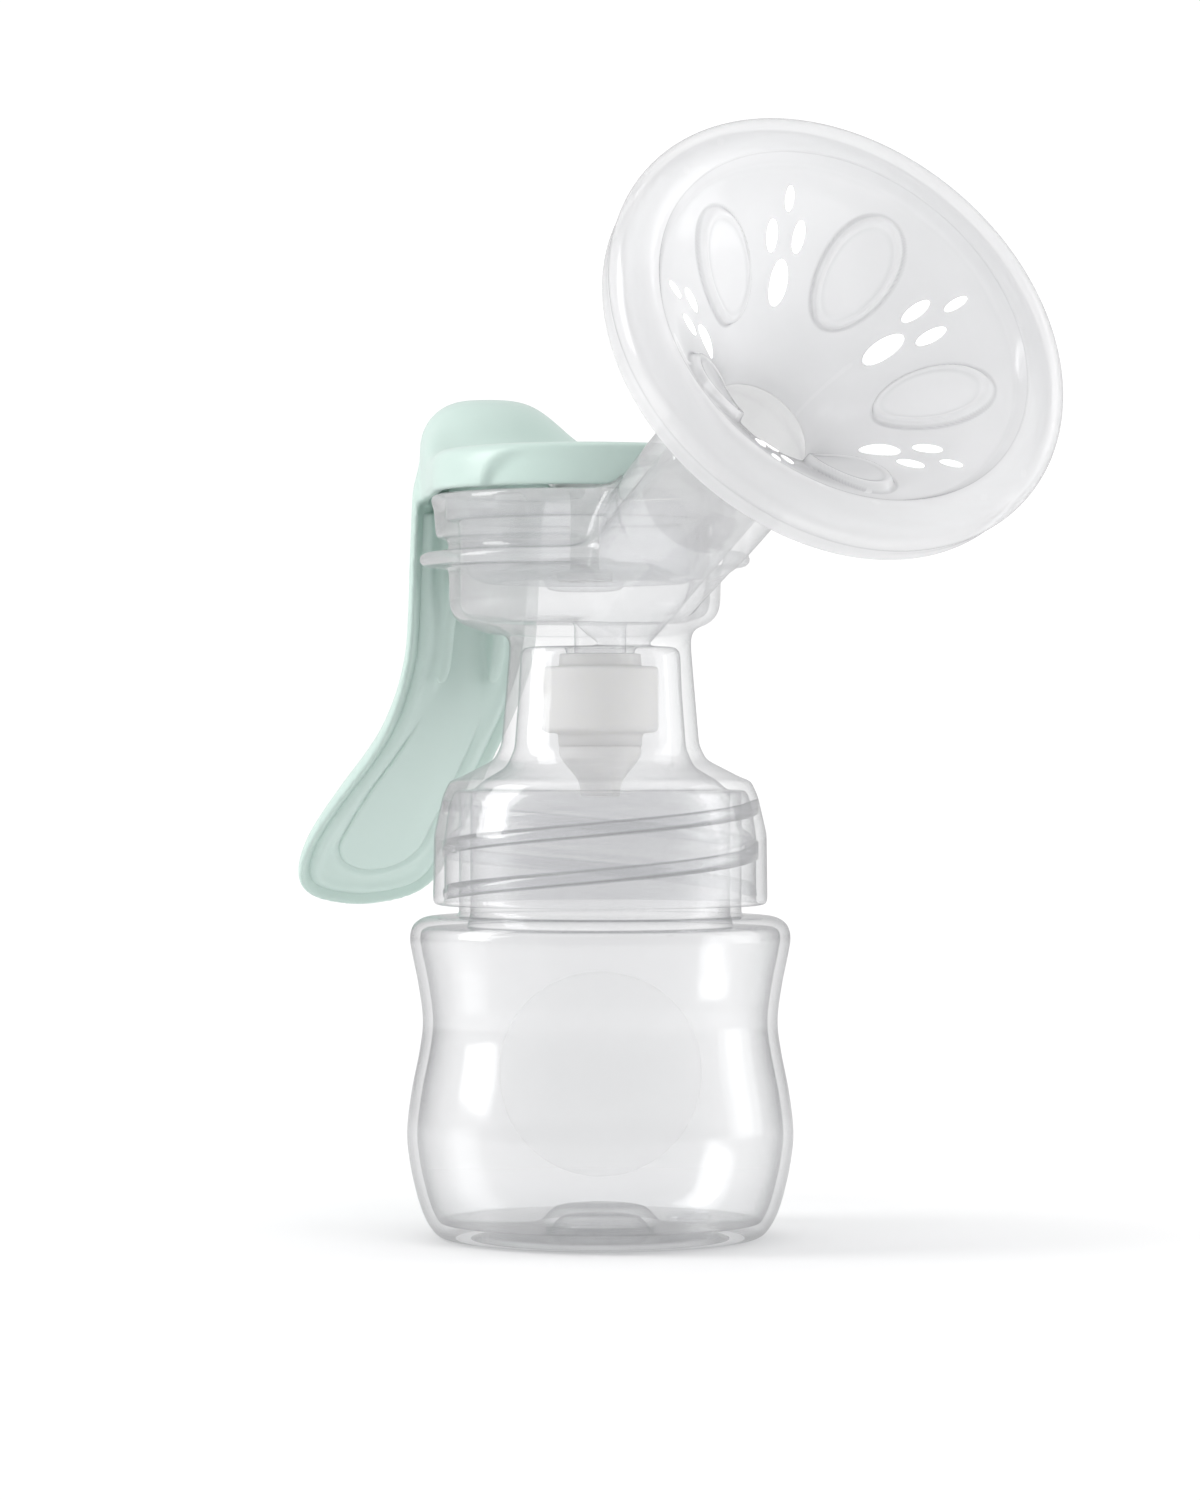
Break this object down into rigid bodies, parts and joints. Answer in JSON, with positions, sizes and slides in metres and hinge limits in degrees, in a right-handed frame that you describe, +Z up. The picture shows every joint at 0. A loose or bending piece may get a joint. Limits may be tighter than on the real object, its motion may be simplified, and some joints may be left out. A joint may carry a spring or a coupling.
{
  "type": "manual breast pump",
  "caption": "Hand-squeezed breast pump: clear bottle, screw-on pump body with an angled funnel, soft petal cushion, duckbill valve, diaphragm on a stem, and a green lever handle.",
  "frame": {"origin": "bottle's axis where it meets the table the bottle stands on", "axes": "+X along the funnel's side, +Z up along the bottle's axis, handle on the -X side, mirror plane at Y = 0"},
  "size_m": [0.2075, 0.0816, 0.1906],
  "materials": {
    "clear_bottle": "clear polypropylene, polished",
    "clear_body": "clear polypropylene, polished",
    "clear_silicone": "milky translucent silicone, satin",
    "white_silicone": "opaque white silicone, satin",
    "white_plastic": "white, semi-gloss",
    "green_plastic": "pale green, satin gloss",
    "green_pad": "pale green, fine satin"
  },
  "bodies": {
    "pump": {"pump_body": "clear_body", "massage_cushion": "clear_silicone", "duckbill_valve": "white_silicone", "diaphragm": "clear_silicone"},
    "bottle": {"bottle": "clear_bottle"},
    "handle": {"handle_shell": "green_plastic", "handle_liner": "green_plastic", "grip_pad": "green_pad"},
    "stem": {"diaphragm_stem": "white_plastic"}
  },
  "joints": [
    {"name": "handle_squeeze", "type": "hinge", "parent": "pump", "child": "handle", "pos_m": [-0.038, 0, 0.13], "axis": [0, -1, 0], "range_deg": [0, 18]},
    {"name": "stem_lift", "type": "slide", "parent": "pump", "child": "stem", "axis": [0, 0, 1], "range_m": [0, 0.0107], "deforming": ["diaphragm"]},
    {"name": "bottle_unscrew", "type": "hinge", "parent": "pump", "child": "bottle", "pos_m": [0, 0, 0.06], "axis": [0, 0, -1], "range_deg": [0, 60]}
  ],
  "couplings": [
    {"joint": "stem_lift", "follows": "handle_squeeze", "m_per_rad": 0.0337}
  ]
}
